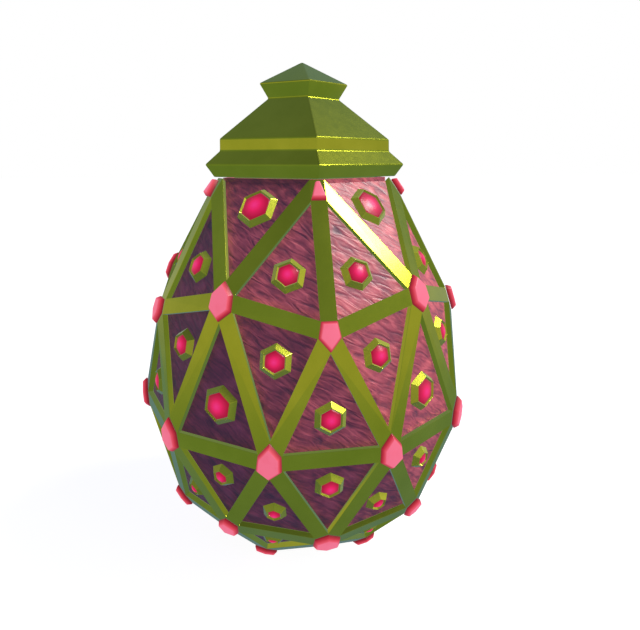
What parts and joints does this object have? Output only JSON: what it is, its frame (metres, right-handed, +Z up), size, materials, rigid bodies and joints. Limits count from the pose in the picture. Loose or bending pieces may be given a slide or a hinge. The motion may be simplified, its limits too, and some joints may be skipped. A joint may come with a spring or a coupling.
{
  "type": "jewelled egg",
  "caption": "Hollow ornamental egg of flat enamelled panels in a gilt lattice, with coral stones on the crossings, framed gems on the panels and a stepped gilt cap that lifts off.",
  "frame": {"origin": "on the floor under the middle of the foot", "axes": "+Z up along the egg's axis to the tip of the cap; -Y is the front, where one corner of the cap points; +X to the right seen from the front"},
  "size_m": [0.0806, 0.0778, 0.1176],
  "materials": {
    "enamel": "streaky gloss enamel",
    "gilt": "polished, slightly green gold",
    "coral": "polished opaque stone"
  },
  "bodies": {
    "root": {"shell": "enamel", "frame": "gilt", "cap": "gilt", "foot": "gilt", "stone_mouth_1": "coral", "stone_mouth_2": "coral", "stone_mouth_3": "coral", "stone_mouth_4": "coral", "stone_mouth_5": "coral", "stone_shoulder_1": "coral", "stone_shoulder_2": "coral", "stone_shoulder_3": "coral", "stone_shoulder_4": "coral", "stone_shoulder_5": "coral", "stone_chest_1": "coral", "stone_chest_2": "coral", "stone_chest_3": "coral", "stone_chest_4": "coral", "stone_chest_5": "coral", "stone_belly_1": "coral", "stone_belly_2": "coral", "stone_belly_3": "coral", "stone_belly_4": "coral", "stone_belly_5": "coral", "stone_belly_6": "coral", "stone_belly_7": "coral", "stone_belly_8": "coral", "stone_belly_9": "coral", "stone_belly_10": "coral", "stone_flank_1": "coral", "stone_flank_2": "coral", "stone_flank_3": "coral", "stone_flank_4": "coral", "stone_flank_5": "coral", "stone_hip_1": "coral", "stone_hip_2": "coral", "stone_hip_3": "coral", "stone_hip_4": "coral", "stone_hip_5": "coral", "stone_base_1": "coral", "stone_base_2": "coral", "stone_base_3": "coral", "stone_base_4": "coral", "stone_base_5": "coral"}
  },
  "joints": []
}
